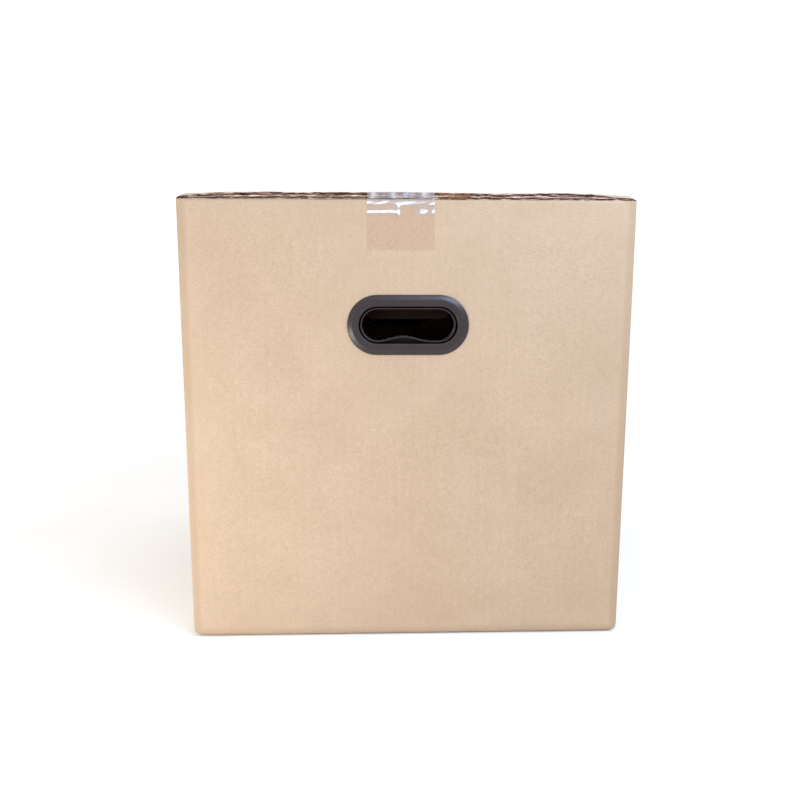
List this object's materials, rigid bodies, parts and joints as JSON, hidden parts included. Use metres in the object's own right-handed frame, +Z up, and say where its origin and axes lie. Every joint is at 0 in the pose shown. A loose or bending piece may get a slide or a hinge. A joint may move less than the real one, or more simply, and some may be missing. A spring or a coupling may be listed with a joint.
{
  "type": "corrugated carton with hand grips",
  "caption": "Closed cube-shaped double-wall kraft carton for archive storage, with folding top and bottom flaps, clear packing tape and black snap-in hand grips in its end walls.",
  "frame": {"origin": "middle of the footprint, on the floor", "axes": "+Z up, front wall with the visible grip faces -Y, side walls face +X and -X"},
  "size_m": [0.4, 0.406, 0.4065],
  "materials": {
    "kraft_board": "matt kraft liner with fine fibre speckle; fluted brown edges where cut",
    "packing_tape": "clear glossy film with small wrinkles",
    "grip_frame": "satin black moulded polypropylene",
    "grip_ring": "satin black moulded polypropylene"
  },
  "bodies": {
    "carton": {"front_wall": "kraft_board", "rear_wall": "kraft_board", "left_wall": "kraft_board", "right_wall": "kraft_board", "glue_tab": "kraft_board", "front_grip_frame": "grip_frame", "front_grip_ring": "grip_ring", "rear_grip_frame": "grip_frame", "rear_grip_ring": "grip_ring", "top_tape_front_end": "packing_tape", "top_tape_rear_end": "packing_tape", "bottom_tape_left_end": "packing_tape", "bottom_tape_right_end": "packing_tape"},
    "top_left": {"top_left_flap": "kraft_board", "top_tape_left": "packing_tape"},
    "top_right": {"top_right_flap": "kraft_board", "top_tape_right": "packing_tape"},
    "top_front": {"top_front_flap": "kraft_board"},
    "top_rear": {"top_rear_flap": "kraft_board"},
    "bottom_front": {"bottom_front_flap": "kraft_board", "bottom_tape_front": "packing_tape"},
    "bottom_rear": {"bottom_rear_flap": "kraft_board", "bottom_tape_rear": "packing_tape"},
    "bottom_left": {"bottom_left_flap": "kraft_board"},
    "bottom_right": {"bottom_right_flap": "kraft_board"}
  },
  "joints": [
    {"name": "top_left_fold", "type": "hinge", "parent": "carton", "child": "top_left", "pos_m": [-0.2, 0, 0.4065], "axis": [0, -1, 0], "range_deg": [0, 265]},
    {"name": "top_right_fold", "type": "hinge", "parent": "carton", "child": "top_right", "pos_m": [0.2, 0, 0.4065], "axis": [0, 1, 0], "range_deg": [0, 265]},
    {"name": "top_front_fold", "type": "hinge", "parent": "carton", "child": "top_front", "pos_m": [0, -0.1935, 0.3935], "axis": [-1, 0, 0], "range_deg": [0, 75]},
    {"name": "top_rear_fold", "type": "hinge", "parent": "carton", "child": "top_rear", "pos_m": [0, 0.1935, 0.3935], "axis": [1, 0, 0], "range_deg": [0, 75]},
    {"name": "bottom_front_fold", "type": "hinge", "parent": "carton", "child": "bottom_front", "pos_m": [0, -0.2, 0], "axis": [-1, 0, 0], "range_deg": [0, 265]},
    {"name": "bottom_rear_fold", "type": "hinge", "parent": "carton", "child": "bottom_rear", "pos_m": [0, 0.2, 0], "axis": [1, 0, 0], "range_deg": [0, 265]},
    {"name": "bottom_left_fold", "type": "hinge", "parent": "carton", "child": "bottom_left", "pos_m": [-0.1935, 0, 0.013], "axis": [0, -1, 0], "range_deg": [0, 75]},
    {"name": "bottom_right_fold", "type": "hinge", "parent": "carton", "child": "bottom_right", "pos_m": [0.1935, 0, 0.013], "axis": [0, 1, 0], "range_deg": [0, 75]}
  ]
}
